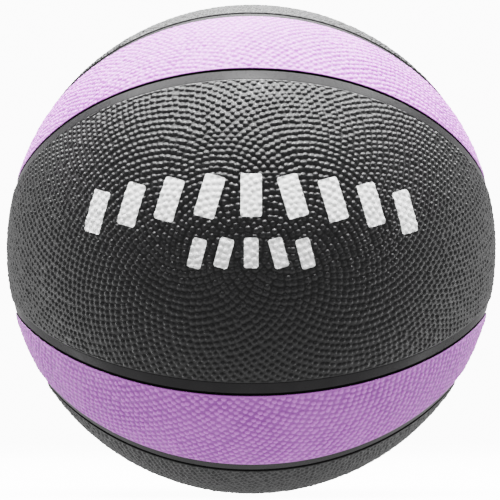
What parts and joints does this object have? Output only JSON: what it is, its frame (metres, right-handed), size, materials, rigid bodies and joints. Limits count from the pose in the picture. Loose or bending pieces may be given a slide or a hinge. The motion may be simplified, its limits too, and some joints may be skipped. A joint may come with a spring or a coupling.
{
  "type": "medicine ball",
  "caption": "Round inflated rubber medicine ball with a pebbled black and light purple cover, smooth seam strips and a needle valve, used for strength and rehabilitation exercise.",
  "frame": {"origin": "centre of the ball", "axes": "+Z through the middle of the upper cap panel, -Y to the printed front of the belt, +Y out through the valve, +X to the right of the printed front"},
  "size_m": [0.234, 0.2338, 0.234],
  "materials": {
    "black_cover_rubber": "pebbled, satin black rubber",
    "purple_cover_rubber": "pebbled, satin light purple rubber",
    "channel_strip_rubber": "smooth satin black rubber",
    "white_ink": "matt white printing ink",
    "filled_core_rubber": "heavy mineral-filled rubber",
    "nylon_thread": "wound nylon thread",
    "butyl_rubber": "smooth butyl rubber",
    "valve_rubber": "soft smooth black rubber"
  },
  "bodies": {
    "root": {"belt_panel_front": "black_cover_rubber", "belt_panel_back": "black_cover_rubber", "upper_cap_panel": "black_cover_rubber", "lower_cap_panel": "black_cover_rubber", "upper_band_front": "purple_cover_rubber", "upper_band_back": "purple_cover_rubber", "lower_band_front": "purple_cover_rubber", "lower_band_back": "purple_cover_rubber", "upper_belt_channel_strip": "channel_strip_rubber", "lower_belt_channel_strip": "channel_strip_rubber", "upper_cap_channel_strip": "channel_strip_rubber", "lower_cap_channel_strip": "channel_strip_rubber", "printed_bars": "white_ink", "weight_core_front": "filled_core_rubber", "weight_core_back": "filled_core_rubber", "nylon_winding": "nylon_thread", "bladder": "butyl_rubber", "valve_patch": "butyl_rubber", "valve_housing": "valve_rubber", "valve_plug": "valve_rubber"}
  },
  "joints": []
}
